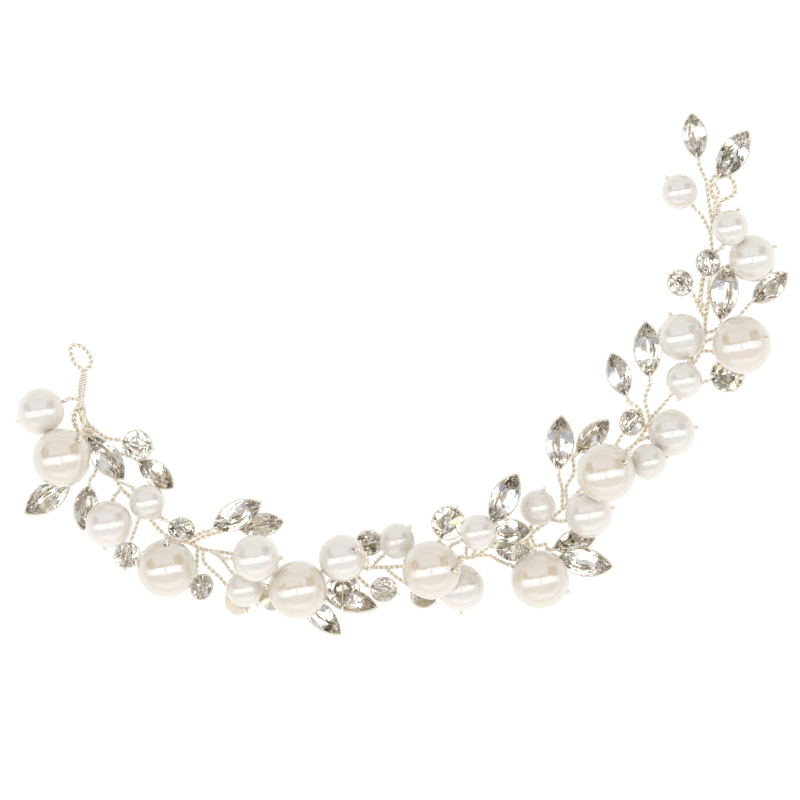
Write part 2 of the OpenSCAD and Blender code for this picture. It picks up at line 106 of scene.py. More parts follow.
# Fineness of the meshes, and the last two rings of a wire's rounded end as shares of its radius
STRAND_STEP = 0.16 * MM
WIRE_SIDES = 8
WIRE_DOME = (0.35, 0.8)
PEARL_SIDES = 72
PEARL_STEPS = 44
DENT_STEPS = 4
LIP_STEPS = 5
DRILL_SIDES = 12

# How wide the photograph is in points, and how many of them are a millimetre at the height of the
# beads. Its middle looks straight down on this place of the vine
PHOTO_POINTS = 800
POINTS_TO_MM = 5.7
BEAD_HEIGHT = 4 * MM
PHOTO_WIDTH = PHOTO_POINTS / POINTS_TO_MM * MM
PHOTO_MIDDLE = (-0.57 * MM, -4.56 * MM)


# Colours and shader nodes

def from_hex(code):
    """A hex colour as it looks on a screen, as the linear red, green, blue and alpha that shaders use."""
    shown = [int(code[i:i + 2], 16) / 255 for i in (1, 3, 5)]
    linear = [c / 12.92 if c <= 0.04045 else ((c + 0.055) / 1.055) ** 2.4 for c in shown]
    return (*linear, 1.0)


def add_node(tree, kind, inputs=None, **settings):
    """Adds a node with its settings, and sets or links its inputs."""
    made = tree.nodes.new(kind)
    for name, value in settings.items():
        setattr(made, name, value)
    for name, value in (inputs or {}).items():
        if isinstance(value, bpy.types.NodeSocket):
            tree.links.new(value, made.inputs[name])
        else:
            made.inputs[name].default_value = value
    return made


def new_material(name):
    """An empty material, its node tree and its output."""
    material = bpy.data.materials.new(name)
    material.use_nodes = True
    tree = material.node_tree
    tree.nodes.clear()
    output = tree.nodes.new("ShaderNodeOutputMaterial")
    return material, tree, output


def repeats(millimetres):
    """Noise scale, in repeats to the metre, of a pattern with that size."""
    return 1 / (millimetres * MM)


def pearl_coat(name, body, blush, painted_reflection_tone, cream, sheen, flake_ior):
    """Moulded bead dipped in pearl essence and lacquer: a pale body under a cool, soft-edged nacre shine,
    creamier towards the edge and browner at the very edge, where the coats are seen through aslant, and with
    a painted reflection: a faint darker ring in the colour where the coat would mirror the line between walls
    and table."""
    material, tree, output = new_material(name)
    place = add_node(tree, "ShaderNodeTexCoord").outputs["Object"]
    clouds = add_node(tree, "ShaderNodeTexNoise", {"Vector": place, "Scale": repeats(4.5), "Detail": 2.0})
    tint = add_node(tree, "ShaderNodeMix", {"Factor": clouds.outputs["Fac"], "A": from_hex(body),
                                            "B": from_hex(blush)}, data_type="RGBA")
    grazing = add_node(tree, "ShaderNodeLayerWeight", {"Blend": 0.5}).outputs["Facing"]
    slant = add_node(tree, "ShaderNodeMapRange", {"Value": grazing, "From Min": 0.15, "From Max": 0.6})
    creamy = add_node(tree, "ShaderNodeMix", {"Factor": slant.outputs["Result"], "A": tint.outputs["Result"],
                                              "B": from_hex(cream)}, data_type="RGBA")
    # Painted reflection: a faint darker ring in the colour, where the coat is seen at about 50 degrees,
    # stands in for the mirrored line between walls and table
    ring_from = add_node(tree, "ShaderNodeMapRange", {"Value": grazing, "From Min": 0.2, "From Max": 0.35})
    ring_to = add_node(tree, "ShaderNodeMapRange", {"Value": grazing, "From Min": 0.35, "From Max": 0.41})
    ring = add_node(tree, "ShaderNodeMath", {0: ring_from.outputs["Result"], 1: ring_to.outputs["Result"]},
                    operation="SUBTRACT")
    painted_reflection_mixed = add_node(tree, "ShaderNodeMix", {"Factor": ring.outputs["Value"], "A": creamy.outputs["Result"],
                                              "B": from_hex(painted_reflection_tone)}, data_type="RGBA")
    edge = add_node(tree, "ShaderNodeMapRange", {"Value": grazing, "From Min": 0.78, "From Max": 1.0})
    rim = add_node(tree, "ShaderNodeMix", {"Factor": edge.outputs["Result"], "A": painted_reflection_mixed.outputs["Result"],
                                           "B": from_hex("#c9beab")}, data_type="RGBA")
    # The real ripple of the dipped coat is finer, and is drawn this coarse so that it shows
    ripple = add_node(tree, "ShaderNodeTexNoise", {"Vector": place, "Scale": repeats(1.1), "Detail": 2.0})
    uneven = add_node(tree, "ShaderNodeBump", {"Height": ripple.outputs["Fac"], "Strength": 0.4,
                                               "Distance": 0.1 * MM})
    shader = add_node(tree, "ShaderNodeBsdfPrincipled", {
        "Base Color": rim.outputs["Result"], "Roughness": 0.035, "IOR": flake_ior,
        "Specular Tint": from_hex(sheen),
        "Subsurface Weight": 0.15, "Subsurface Radius": (1.0, 0.85, 0.65), "Subsurface Scale": 0.8 * MM,
        "Coat Weight": 1.0, "Coat Roughness": 0.03, "Coat IOR": 1.5,
        "Normal": uneven.outputs["Normal"], "Coat Normal": uneven.outputs["Normal"]})
    tree.links.new(shader.outputs["BSDF"], output.inputs["Surface"])
    return material


def plated_wire(name):
    """Copper craft wire, drawn and champagne plated: pale gold with the soft streaks of the drawing die,
    and with painted shade, a darker, yellower tone, in the crevices where two strands lie against each other."""
    material, tree, output = new_material(name)
    place = add_node(tree, "ShaderNodeTexCoord").outputs["Object"]
    wear = add_node(tree, "ShaderNodeTexNoise", {"Vector": place, "Scale": repeats(1.2), "Detail": 3.0})
    plate = add_node(tree, "ShaderNodeMix", {"Factor": wear.outputs["Fac"], "A": from_hex("#fdf8ee"),
                                             "B": from_hex("#f8f0e0")}, data_type="RGBA")
    # Painted shade: a darker, yellower tone near each twist's middle, where the strands lie in each other's
    # crevices, set by how far out each point lies
    outness = add_node(tree, "ShaderNodeAttribute", attribute_name="outness").outputs["Fac"]
    painted_crevice_shade_fade = add_node(tree, "ShaderNodeMapRange", {"Value": outness, "From Min": 0.25, "From Max": 0.8})
    tint = add_node(tree, "ShaderNodeMix", {"Factor": painted_crevice_shade_fade.outputs["Result"], "A": from_hex("#f5e8cb"),
                                            "B": plate.outputs["Result"]}, data_type="RGBA")
    streaks = add_node(tree, "ShaderNodeTexNoise", {"Vector": place, "Scale": repeats(0.12), "Detail": 1.0})
    drawn = add_node(tree, "ShaderNodeBump", {"Height": streaks.outputs["Fac"], "Strength": 0.15,
                                              "Distance": 0.01 * MM})
    shader = add_node(tree, "ShaderNodeBsdfPrincipled", {
        "Base Color": tint.outputs["Result"], "Metallic": 1.0, "Roughness": 0.42,
        "Normal": drawn.outputs["Normal"]})
    tree.links.new(shader.outputs["BSDF"], output.inputs["Surface"])
    return material


def cut_glass(name):
    """Pressed and polished lead-free crystal: water clear, with hard bright facets."""
    material, tree, output = new_material(name)
    place = add_node(tree, "ShaderNodeTexCoord").outputs["Object"]
    polish = add_node(tree, "ShaderNodeTexNoise", {"Vector": place, "Scale": repeats(2.5), "Detail": 1.0})
    lap = add_node(tree, "ShaderNodeBump", {"Height": polish.outputs["Fac"], "Strength": 0.05,
                                            "Distance": 0.05 * MM})
    shader = add_node(tree, "ShaderNodeBsdfPrincipled", {
        "Base Color": from_hex("#fdfcfa"), "Roughness": 0.0, "IOR": 1.56, "Transmission Weight": 1.0,
        "Normal": lap.outputs["Normal"]})
    tree.links.new(shader.outputs["BSDF"], output.inputs["Surface"])
    return material


def mirror_foil(name):
    """Vacuum-silvered back of the crystal, seen through the glass: a pale mirror in patches of a slightly
    different white. A few of them are thin, and the gold lacquer and the dark back come through."""
    material, tree, output = new_material(name)
    place = add_node(tree, "ShaderNodeTexCoord").outputs["Object"]
    # Real wear is finer, and is drawn this coarse so that it shows
    patches = add_node(tree, "ShaderNodeTexVoronoi", {"Vector": place, "Scale": repeats(1.1)})
    chance = add_node(tree, "ShaderNodeSeparateColor", {"Color": patches.outputs["Color"]})
    tint = add_node(tree, "ShaderNodeMix", {"Factor": chance.outputs["Green"], "A": from_hex("#faf8f4"),
                                            "B": from_hex("#edeae5")}, data_type="RGBA")
    worn = add_node(tree, "ShaderNodeMath", {0: chance.outputs["Red"], 1: 0.08}, operation="LESS_THAN")
    gilt = add_node(tree, "ShaderNodeMix", {"Factor": worn.outputs["Value"], "A": tint.outputs["Result"],
                                            "B": from_hex("#ddd3bb")}, data_type="RGBA")
    bare = add_node(tree, "ShaderNodeMath", {0: chance.outputs["Red"], 1: 0.03}, operation="LESS_THAN")
    patched = add_node(tree, "ShaderNodeMix", {"Factor": bare.outputs["Value"], "A": gilt.outputs["Result"],
                                               "B": from_hex("#8a8578")}, data_type="RGBA")
    shader = add_node(tree, "ShaderNodeBsdfPrincipled", {
        "Base Color": patched.outputs["Result"], "Metallic": 1.0, "Roughness": 0.07})
    tree.links.new(shader.outputs["BSDF"], output.inputs["Surface"])
    return material


def gold_lacquer(name):
    """Sprayed gold lacquer that guards the silvering from behind: satin, a little grainy."""
    material, tree, output = new_material(name)
    place = add_node(tree, "ShaderNodeTexCoord").outputs["Object"]
    flakes = add_node(tree, "ShaderNodeTexNoise", {"Vector": place, "Scale": repeats(0.5), "Detail": 3.0})
    tint = add_node(tree, "ShaderNodeMix", {"Factor": flakes.outputs["Fac"], "A": from_hex("#f6eee0"),
                                            "B": from_hex("#ddd0b4")}, data_type="RGBA")
    grain = add_node(tree, "ShaderNodeBump", {"Height": flakes.outputs["Fac"], "Strength": 0.3,
                                              "Distance": 0.03 * MM})
    shader = add_node(tree, "ShaderNodeBsdfPrincipled", {
        "Base Color": tint.outputs["Result"], "Metallic": 0.85, "Roughness": 0.35,
        "Normal": grain.outputs["Normal"]})
    tree.links.new(shader.outputs["BSDF"], output.inputs["Surface"])
    return material


CREAM_PEARL = pearl_coat("cream_pearl_coat", body="#f4e4ca", blush="#f0dfc4", painted_reflection_tone="#ebdcc0",
                         cream="#f5e6cc", sheen="#b4d6fd", flake_ior=2.65)
WHITE_PEARL = pearl_coat("white_pearl_coat", body="#eae5de", blush="#e5dfd7", painted_reflection_tone="#e4ded3",
                         cream="#eee6d9", sheen="#f6f6f6", flake_ior=2.15)
WIRE = plated_wire("champagne_plated_wire")
GLASS = cut_glass("polished_crystal")
FOIL = mirror_foil("silvered_back")
LACQUER_BACK = gold_lacquer("gold_lacquer_back")

# The coats of a crystal, and their numbers on its faces
CRYSTAL_COATS = (GLASS, FOIL, LACQUER_BACK)
CLEAR = 0
SILVERED = 1
LACQUERED = 2


# Reading shapes from the frame

def solids_of(node):
    """The loose solids of a CAD node, each as its joined points and its triangles of point numbers."""
    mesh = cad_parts[node].data
    mesh.calc_loop_triangles()
    spots = np.array([v.co for v in mesh.vertices])
    points, index = np.unique(np.round(spots, 8), axis=0, return_inverse=True)
    triangles = index.reshape(-1)[np.array([t.vertices[:] for t in mesh.loop_triangles])]
    group = np.arange(len(points))
    while True:
        lowest = group[triangles].min(axis=1)
        joined = group.copy()
        for corner in range(3):
            np.minimum.at(joined, triangles[:, corner], lowest)
        if (joined == group).all():
            break
        group = joined
    solids = []
    for name in np.unique(group[triangles]):
        mine = np.flatnonzero(group == name)
        number = {old: new for new, old in enumerate(mine)}
        own = triangles[group[triangles[:, 0]] == name]
        solids.append((points[mine], np.array([[number[p] for p in t] for t in own])))
    return solids


def unit(vector):
    """The same direction at length 1."""
    return vector / np.linalg.norm(vector)


def face_normals(points, triangles):
    """Each triangle's normal, as long as twice its area."""
    a, b, c = (points[triangles[:, k]] for k in range(3))
    return np.cross(b - a, c - a)


def end_face(points, triangles):
    """The corners of one flat end of a swept wire: six points on a small circle, all in one plane."""
    corner_count = 6
    nearby = 2 * MM
    flat = 0.002 * MM
    same_way = 0.99999
    round_enough = 0.02
    normals = face_normals(points, triangles)
    normals /= np.linalg.norm(normals, axis=1)[:, None] + 1e-20
    middles = points[triangles].mean(axis=1)
    for normal, middle in zip(normals, middles):
        close = np.linalg.norm(middles - middle, axis=1) < nearby
        level = np.abs((middles - middle) @ normal) < flat
        corners = np.unique(triangles[close & level & (normals @ normal > same_way)])
        if len(corners) == corner_count:
            reach = np.linalg.norm(points[corners] - points[corners].mean(axis=0), axis=1)
            if reach.std() < round_enough * reach.mean():
                return set(corners.tolist())
    raise ValueError("a wire has no flat end")


def centre_line(points, triangles):
    """The middle and radius of each ring of a swept wire, from one end to the other."""
    beside = [set() for _ in points]
    for a, b, c in triangles.tolist():
        beside[a] |= {b, c}
        beside[b] |= {a, c}
        beside[c] |= {a, b}
    ring = end_face(points, triangles)
    seen = set(ring)
    line = []
    while ring:
        corners = points[sorted(ring)]
        middle = corners.mean(axis=0)
        line.append([*middle, np.linalg.norm(corners - middle, axis=1).mean()])
        ring = set().union(*(beside[p] for p in ring)) - seen
        seen |= ring
    return np.array(line)


def off_line(spot, line_from, line_to):
    """How far a spot is from a straight line."""
    along = unit(line_to - line_from)
    aside = (spot - line_from) - ((spot - line_from) @ along) * along
    return np.linalg.norm(aside)


# Meshes

def show(name, points, faces, materials, slots, node, smooth):
    """Makes a piece of these points and faces that stands for a CAD node and rides with the vine."""
    mesh = bpy.data.meshes.new(name)
    mesh.from_pydata([tuple(p) for p in points], [], [tuple(f) for f in faces])
    for material in materials:
        mesh.materials.append(material)
    if slots is not None:
        mesh.polygons.foreach_set("material_index", slots)
    mesh.polygons.foreach_set("use_smooth", [smooth] * len(mesh.polygons))
    mesh.update()
    piece = bpy.data.objects.new(name, mesh)
    bpy.context.scene.collection.objects.link(piece)
    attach(piece, "root")
    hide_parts(node)
    return piece


def across(direction):
    """Two directions square to this one and to each other."""
    helper = np.array([0.0, 0.0, 1.0]) if abs(direction[2]) < 0.9 else np.array([1.0, 0.0, 0.0])
    first = unit(np.cross(helper, direction))
    return first, np.cross(direction, first)


# Twisted wire

def smooth_line(line, step):
    """The line's points and radii at even steps along a smooth curve through them."""
    before = np.vstack([2 * line[0] - line[1], line[:-1]])
    after = np.vstack([line[1:], 2 * line[-1] - line[-2]])
    beyond = np.vstack([after[1:], after[-1:]])
    finer = 1.5
    fine = []
    for a, b, c, d in zip(before[:-1], line[:-1], after[:-1], beyond[:-1]):
        count = max(2, int(np.linalg.norm((c - b)[:3]) / step * finer))
        for t in np.arange(count) / count:
            fine.append(0.5 * (2 * b + (c - a) * t + (2 * a - 5 * b + 4 * c - d) * t ** 2
                               + (3 * b - a - 3 * c + d) * t ** 3))
    fine = np.array(fine + [line[-1]])
    run = np.concatenate([[0], np.cumsum(np.linalg.norm(np.diff(fine[:, :3], axis=0), axis=1))])
    even = np.linspace(0, run[-1], max(3, int(run[-1] / step)))
    return np.stack([np.interp(even, run, fine[:, k]) for k in range(4)], axis=1), even


def carried_frames(path):
    """Directions along a path, and two square to it that are carried on without twist."""
    along = np.gradient(path, axis=0)
    along /= np.linalg.norm(along, axis=1)[:, None] + 1e-12
    side, _ = across(along[0])
    firsts = []
    for direction in along:
        side = unit(side - (side @ direction) * direction)
        firsts.append(side)
    firsts = np.array(firsts)
    return along, firsts, np.cross(along, firsts)


def tube(path, radius, sides):
    """Points and faces of a round wire along a path, closed with a small dome at each end."""
    along, first, second = carried_frames(path)
    shape = np.ones(len(path))
    shape[[0, -1]] = WIRE_DOME[0]
    shape[[1, -2]] = WIRE_DOME[1]
    angles = np.arange(sides) * 2 * math.pi / sides
    around = (np.cos(angles)[None, :, None] * first[:, None, :]
              + np.sin(angles)[None, :, None] * second[:, None, :])
    points = (path[:, None, :] + radius * shape[:, None, None] * around).reshape(-1, 3)
    faces = [(i * sides + k, i * sides + (k + 1) % sides,
              (i + 1) * sides + (k + 1) % sides, (i + 1) * sides + k)
             for i in range(len(path) - 1) for k in range(sides)]
    faces.append(tuple(range(sides))[::-1])
    faces.append(tuple((len(path) - 1) * sides + k for k in range(sides)))
    return points, faces


def strand_paths(line, strand_r, strands):
    """Paths of strands wound about a line. Each strand is given as its pitch, its start angle and its share
    of the room between the line and the wire's outer side.

    Where the line is one strand thick, only the first strand goes on. With each path comes the line that it
    winds about, and how far its outer side is from that line."""
    fine, run = smooth_line(line, STRAND_STEP)
    _, first, second = carried_frames(fine[:, :3])
    room = SPREAD * np.clip(fine[:, 3] - strand_r, 0, None)
    single = np.flatnonzero(room < ALONE * strand_r)
    paths = []
    for number, (pitch, start, share) in enumerate(strands):
        angle = 2 * math.pi * run / pitch + start
        turn = np.cos(angle)[:, None] * first + np.sin(angle)[:, None] * second
        path = fine[:, :3] + share * room[:, None] * turn
        last = single[0] + 1 if number and len(single) else len(path)
        if last > 3:
            paths.append((path[:last], fine[:last, :3], room[:last] + FULL * strand_r))
    return paths


def stretches(line, wanted):
    """The stretches of a line where its rings are wanted."""
    edges = np.flatnonzero(np.diff(np.concatenate([[False], wanted, [False]]).astype(int)))
    return [line[a:b] for a, b in zip(edges[::2], edges[1::2]) if b - a > 2]


def evenly_wound(count, pitch, start, share=1.0):
    """Strands wound side by side, evenly round their line."""
    return [(pitch, start + 2 * math.pi * number / count, share) for number in range(count)]


def twisted_wire(node, lines, randomness):
    """Replaces a CAD wire node with twisted pairs, wrapped where it is thick and bundled where thickest.

    Each point keeps how far out it lies, as outness, which tells the plating where to paint shade in the
    crevices where the strands touch."""
    points, faces, outness = [], [], []
    for line in lines:
        thin = np.median(line[:, 3])
        strand_r = thin / 2
        pair = line.copy()
        pair[:, 3] = np.minimum(line[:, 3], thin)
        start = randomness.uniform(0, 2 * math.pi)
        paths = strand_paths(pair, strand_r, evenly_wound(2, TWIST_PITCH, start))
        wrapped = (line[:, 3] > THICK * thin) & (line[:, 3] < BUNDLE_R)
        wraps = evenly_wound(WRAPS, WRAP_PITCH, start, WRAP_SPREAD / SPREAD)
        for stretch in stretches(line, wrapped):
            paths += strand_paths(stretch, strand_r, wraps)
        for stretch in stretches(line, line[:, 3] > BUNDLED * BUNDLE_R):
            loose = [(randomness.uniform(*LOOSE_PITCH_MM) * MM, randomness.uniform(0, 2 * math.pi),
                      randomness.uniform(*LOOSE_ROOM)) for _ in range(LOOSE_STRANDS)]
            paths += strand_paths(stretch, strand_r, loose)
        for path, middle, reach in paths:
            more_points, more_faces = tube(path, FULL * strand_r, WIRE_SIDES)
            first = sum(len(p) for p in points)
            points.append(more_points)
            faces += [tuple(first + v for v in face) for face in more_faces]
            out = np.linalg.norm(more_points - np.repeat(middle, WIRE_SIDES, axis=0), axis=1)
            outness.append(out / np.repeat(reach, WIRE_SIDES))
    piece = show(node + "_strands", np.vstack(points), faces, [WIRE], None, node, True)
    mark = piece.data.attributes.new("outness", "FLOAT", "POINT")
    mark.data.foreach_set("value", np.concatenate(outness))


def lashed_to(carrier, line):
    """A side strand's line, its two ends led in beside the wire that it runs along."""
    middle = line[len(line) // 2, :3]
    ends = []
    for end in (line[0], line[-1]):
        beyond = end[:3] + LEAD_IN * unit(end[:3] - middle)
        at = carrier[np.argmin(np.linalg.norm(carrier[:, :3] - beyond, axis=1)), :3]
        ends.append(np.append(at, end[3]))
    return np.vstack([ends[0], line, ends[1]])


def joined_to(end_of, line):
    """A loop's line, its two ends led down beside the end of the wire that carries it."""
    apart = np.linalg.norm(end_of[[0, -1], :3] - line[0, :3], axis=1)
    nearest, inward = end_of[[0, 2], :3] if apart[0] < apart[1] else end_of[[-1, -3], :3]
    reach = [np.append(nearest, line[0, 3]), np.append(inward, line[0, 3])]
    return np.vstack([reach[::-1], line, reach])


# Pearls

def pearl_profile(radius):
    """Half outline of a drilled pearl, [along the bore, out from it], from its mouth to its far end.

    The mouth lies in a small dent. At the far end the coating has run into a small nipple round the wire."""
    clear_of = 1.05
    lip_hollow = 1.6
    tip_r = 0.8 * MOUTH_R
    outline = []
    for step in range(DENT_STEPS + 1):
        out = MOUTH_R + (DENT_R - MOUTH_R) * step / DENT_STEPS
        sunk = DENT_DEPTH * (1 - step / DENT_STEPS) ** 2
        outline.append((sunk - math.sqrt(radius ** 2 - out ** 2), out))
    first = math.asin(DENT_R / radius) * clear_of
    last = math.pi - math.asin(LIP_R / radius) * clear_of
    for step in range(PEARL_STEPS + 1):
        angle = first + (last - first) * step / PEARL_STEPS
        outline.append((-radius * math.cos(angle), radius * math.sin(angle)))
    for step in range(LIP_STEPS + 1):
        out = LIP_R + (tip_r - LIP_R) * step / LIP_STEPS
        raised = LIP_HEIGHT * (step / LIP_STEPS) ** lip_hollow
        outline.append((math.sqrt(radius ** 2 - out ** 2) + raised, out))
    return outline


def drilled_pearl(node, bead_ends):
    """Replaces a CAD pearl with a smooth one that is dented round its bore, in line with its wire."""
    low, high = (np.array(corner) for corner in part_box(node))
    centre = (low + high) / 2
    radius = (high - low).max() / 2

    def misfit(wire_end):
        """How far a wire's end is from one that runs through this pearl and stands out as a nib."""
        return off_line(centre, *wire_end) + abs(np.linalg.norm(wire_end[1] - centre) - radius - NIB)

    start, end = min(bead_ends, key=misfit)
    axis = unit(end - start)
    first, second = across(axis)
    profile = pearl_profile(radius)
    sides = PEARL_SIDES
    turns = [2 * math.pi * k / sides for k in range(sides)]
    points = [centre + along * axis + out * (math.cos(t) * first + math.sin(t) * second)
              for along, out in profile for t in turns]
    rows = len(profile)
    faces = [(i * sides + k, i * sides + (k + 1) % sides,
              (i + 1) % rows * sides + (k + 1) % sides, (i + 1) % rows * sides + k)
             for i in range(rows) for k in range(sides)]
    if node.startswith("pearl_large"):
        show(node + "_coated", points, faces, [CREAM_PEARL], None, node, True)
    else:
        show(node + "_coated", points, faces, [WHITE_PEARL], None, node, True)


# Crystals

def crystal_place(points, triangles):
    """Middle, long direction, table direction, length and width of a cut crystal."""
    same_way = 0.9995
    near_tip = 0.499
    normals = face_normals(points, triangles)
    areas = np.linalg.norm(normals, axis=1)
    normals /= areas[:, None] + 1e-20
    shared = [areas[normals @ n > same_way].sum() for n in normals]
    up = normals[int(np.argmax(shared))]
    flat = points - (points @ up)[:, None] * up
    span = np.linalg.norm(flat[:, None] - flat[None], axis=2)
    a, b = np.unravel_index(span.argmax(), span.shape)
    long = unit(flat[b] - flat[a])
    reach = points @ long
    middle_reach = (reach.max() + reach.min()) / 2
    length = reach.max() - reach.min()
    tips = points[np.abs(reach - middle_reach) > near_tip * length]
    side = np.cross(up, long)
    sideways = points @ side
    middle_side = (sideways.max() + sideways.min()) / 2
    centre = middle_reach * long + middle_side * side + (tips @ up).mean() * up
    return centre, long, up, length, sideways.max() - sideways.min()


def outline_point(angle, length, width):
    """A point on a crystal's outline: a circle for a round one, or else two arcs that meet in tips."""
    x = length / 2 * math.cos(angle)
    if length < NAVETTE_FROM * width:
        return x, width / 2 * math.sin(angle)
    arc = (length ** 2 + width ** 2) / (4 * width)
    y = math.sqrt(max(0, arc ** 2 - x ** 2)) - arc + width / 2
    return x, math.copysign(y, math.sin(angle)) if abs(math.sin(angle)) > 1e-9 else 0.0


def brilliant_cut(length, width):
    """Points of a cut crystal in its own frame, and its faces: those of the crown, the girdle's band and
    the pavilion. Eight main facets go round it, and the long sides of a navette face facets 2 and 6."""
    eighth = math.pi / 4
    girdle_top = GIRDLE / 2 * width
    girdle_low = -GIRDLE / 2 * width
    table_z = girdle_top + CROWN * width
    keel_x = KEEL * length / 2 if length > NAVETTE_FROM * width else 0.0
    slant = math.cos(eighth / 2)
    star_z = table_z - CROWN * width * (STAR * slant - TABLE) / (CROWN_EDGE - TABLE)
    culet_z = girdle_low - PAVILION * width
    half_z = culet_z + PAVILION * width * HALF * slant
    points = []

    def put(angle, share, z, shift=0.0):
        """Adds a point at this share of the way out to the outline, and tells its number."""
        x, y = outline_point(angle, length, width)
        points.append((x * share + shift, y * share, z))
        return len(points) - 1

    table = [put(k * eighth, TABLE, table_z) for k in range(8)]
    star = [put((k + 0.5) * eighth, STAR, star_z) for k in range(8)]
    upper = [put(k * eighth / 2, CROWN_EDGE, girdle_top) for k in range(16)]
    lower = [put(k * eighth / 2, 1, girdle_low) for k in range(16)]
    half = [put((k + 0.5) * eighth, HALF, half_z, (1 - HALF) * keel_x * (1 if k in (0, 1, 6, 7) else -1))
            for k in range(8)]
    ends = []
    for x in ((keel_x, -keel_x) if keel_x else (0.0,)):
        points.append((x, 0.0, culet_z))
        ends.append(len(points) - 1)
    boats = []
    boat_z = BOAT_DOWN * culet_z + (1 - BOAT_DOWN) * girdle_low
    for side in ((1, -1) if keel_x else ()):
        points.append((BOAT_ALONG * keel_x * side, side * (BOAT_OUT * width + BOAT_SWELL), boat_z))
        boats.append(len(points) - 1)
    crown = [tuple(table)]
    pavilion = []
    for k in range(8):
        near, far = 2 * k, 2 * k + 1
        last, beyond = (2 * k + 2) % 16, (k + 1) % 8
        crown += [(table[k], star[k], table[beyond]), (table[k], star[k - 1], upper[near], star[k]),
                  (star[k], upper[near], upper[far]), (star[k], upper[far], upper[last])]
        pavilion += [(half[k], lower[far], lower[near]), (half[k], lower[last], lower[far])]
        if keel_x and k in (2, 6):
            front, back = ends if k == 2 else ends[::-1]
            boat = boats[0] if k == 2 else boats[1]
            pavilion += [(half[k - 1], lower[near], front), (back, lower[near], half[k]),
                         (front, lower[near], boat), (boat, lower[near], back), (front, boat, back)]
        else:
            pavilion.append((half[k - 1], lower[near], half[k], ends[0] if k in (0, 1, 7) else ends[-1]))
    band = [(upper[k], lower[k], lower[(k + 1) % 16], upper[(k + 1) % 16]) for k in range(16)]
    return np.array(points), crown, band, pavilion


def bored(piece, points_from, direction, reach):
    """Drills a round hole through a crystal. Its wall is silvered together with the back."""
    first, second = across(direction)
    sides = DRILL_SIDES
    turns = [2 * math.pi * k / sides for k in range(sides)]
    circle = [CRYSTAL_BORE_R * (math.cos(t) * first + math.sin(t) * second) for t in turns]
    points = [tuple(points_from + s * reach * direction + c) for s in (-1, 1) for c in circle]
    faces = [(k, (k + 1) % sides, sides + (k + 1) % sides, sides + k) for k in range(sides)]
    faces += [tuple(range(sides))[::-1], tuple(sides + k for k in range(sides))]
    mesh = bpy.data.meshes.new("drill")
    mesh.from_pydata(points, [], faces)
    for material in piece.data.materials:
        mesh.materials.append(material)
    mesh.polygons.foreach_set("material_index", [SILVERED] * len(faces))
    drill = bpy.data.objects.new("drill", mesh)
    bpy.context.scene.collection.objects.link(drill)
    cut = piece.modifiers.new("drill", "BOOLEAN")
    cut.operation = "DIFFERENCE"
    cut.solver = "EXACT"
    cut.object = drill
    made = bpy.data.meshes.new_from_object(piece.evaluated_get(bpy.context.evaluated_depsgraph_get()))
    piece.modifiers.clear()
    piece.data = made
    bpy.data.objects.remove(drill)


def cut_crystal(points, triangles, bead_ends):
    """One drilled crystal as a loose object, with its crown of glass and silvered back, and the lacquer
    over that back as points and faces."""
    beside_keel = 0.4 * MM
    beside_bore = 0.5 * MM
    centre, long, up, length, width = crystal_place(points, triangles)
    navette = length > NAVETTE_FROM * width
    if navette:
        from_centre = points - centre
        along = from_centre @ long
        aside = np.abs(from_centre @ np.cross(up, long))
        at_bore = np.abs(np.abs(along) - length / 2 + TIP_BORE_IN) < beside_bore
        if np.sign(along[(aside < beside_keel) & at_bore]).sum() > 0:
            long = -long
    else:
        length = width = max(length, width)
        start, end = min(bead_ends, key=lambda e: off_line(centre, *e) + np.linalg.norm(e[1] - centre))
        long = unit(end - start)
        long = unit(long - (long @ up) * up)
    side = np.cross(up, long)
    shape, clear, band, back = brilliant_cut(length, width)
    faces = clear + band + back
    slots = [CLEAR] * len(clear) + [LACQUERED] * len(band) + [SILVERED] * len(back)
    mesh = bpy.data.meshes.new("crystal")
    world = centre + shape @ np.array([long, side, up])
    mesh.from_pydata([tuple(p) for p in world], [], faces)
    for material in CRYSTAL_COATS:
        mesh.materials.append(material)
    mesh.polygons.foreach_set("material_index", slots)
    stone = bpy.data.objects.new("crystal", mesh)
    bpy.context.scene.collection.objects.link(stone)
    if navette:
        bored(stone, centre + (TIP_BORE_IN - length / 2) * long, up, width)
    else:
        bored(stone, centre - (GIRDLE / 2 * width + BORE_ROOF + CRYSTAL_BORE_R) * up, long, width)
    return stone, lacquer_skin(world, back, centre)


def lacquer_skin(points, faces, centre):
    """The lacquer over a crystal's back, a little outside the silvering."""
    used = sorted({v for f in faces for v in f})
    number = {old: new for new, old in enumerate(used)}
    skin = [p + LACQUER * unit(p - centre) for p in points[used]]
    return skin, [tuple(number[v] for v in f) for f in faces]


def cut_crystals(node, bead_ends):
    """Replaces a node of crystals with cut, drilled, foil-backed ones in one piece."""
    points, faces, slots = [], [], []
    for solid in solids_of(node):
        stone, (skin, skin_faces) = cut_crystal(*solid, bead_ends)
        start = len(points)
        points += [v.co[:] for v in stone.data.vertices]
        faces += [tuple(start + v for v in p.vertices) for p in stone.data.polygons]
        slots += [p.material_index for p in stone.data.polygons]
        start = len(points)
        points += [tuple(p) for p in skin]
        faces += [tuple(start + v for v in f) for f in skin_faces]
        slots += [LACQUERED] * len(skin_faces)
        bpy.data.objects.remove(stone)
    show(node + "_cut", points, faces, CRYSTAL_COATS, slots, node, False)


# The vine

